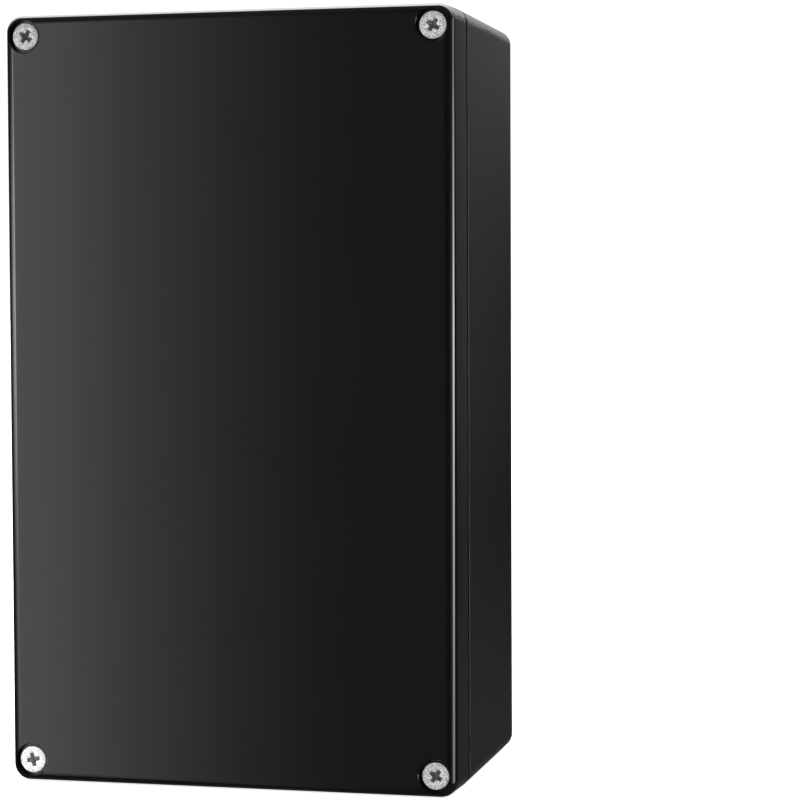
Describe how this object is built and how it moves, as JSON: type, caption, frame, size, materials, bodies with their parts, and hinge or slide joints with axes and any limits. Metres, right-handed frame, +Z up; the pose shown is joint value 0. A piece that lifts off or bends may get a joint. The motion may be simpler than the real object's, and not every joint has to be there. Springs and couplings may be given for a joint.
{
  "type": "plastic project box",
  "caption": "Tall sealed moulded box with a flat screw-down lid, a cord seal in a groove, wells for wall screws and posts for a circuit board.",
  "frame": {"origin": "middle of the short end that the box stands on, level with its lowest edge", "axes": "+Z up along the long sides, -Y out through the lid, +Y out through the back wall, +X to the right as one faces the lid"},
  "size_m": [0.1198, 0.075, 0.2],
  "materials": {
    "base_plastic": "moulded black ABS with a soft sheen",
    "lid_plastic": "moulded black ABS, smooth and glossy face",
    "seal_cord": "milky white silicone cord",
    "screw_zinc": "bright zinc plate",
    "insert_brass": "turned and knurled brass"
  },
  "bodies": {
    "base": {"case_base": "base_plastic", "insert_top_left": "insert_brass", "insert_top_right": "insert_brass", "insert_bottom_right": "insert_brass", "insert_bottom_left": "insert_brass"},
    "lid": {"lid": "lid_plastic", "gasket": "seal_cord"},
    "loose_screw_top_left": {"screw_top_left": "screw_zinc"},
    "loose_screw_top_right": {"screw_top_right": "screw_zinc"},
    "loose_screw_bottom_right": {"screw_bottom_right": "screw_zinc"},
    "loose_screw_bottom_left": {"screw_bottom_left": "screw_zinc"}
  },
  "joints": [
    {"name": "lid_lift_off", "type": "slide", "parent": "base", "child": "lid", "axis": [0, -1, 0], "range_m": [0, 0.06]},
    {"name": "screw_top_left_out", "type": "slide", "parent": "lid", "child": "loose_screw_top_left", "axis": [0, -1, 0], "range_m": [0, 0.03]},
    {"name": "screw_top_right_out", "type": "slide", "parent": "lid", "child": "loose_screw_top_right", "axis": [0, -1, 0], "range_m": [0, 0.03]},
    {"name": "screw_bottom_right_out", "type": "slide", "parent": "lid", "child": "loose_screw_bottom_right", "axis": [0, -1, 0], "range_m": [0, 0.03]},
    {"name": "screw_bottom_left_out", "type": "slide", "parent": "lid", "child": "loose_screw_bottom_left", "axis": [0, -1, 0], "range_m": [0, 0.03]}
  ]
}
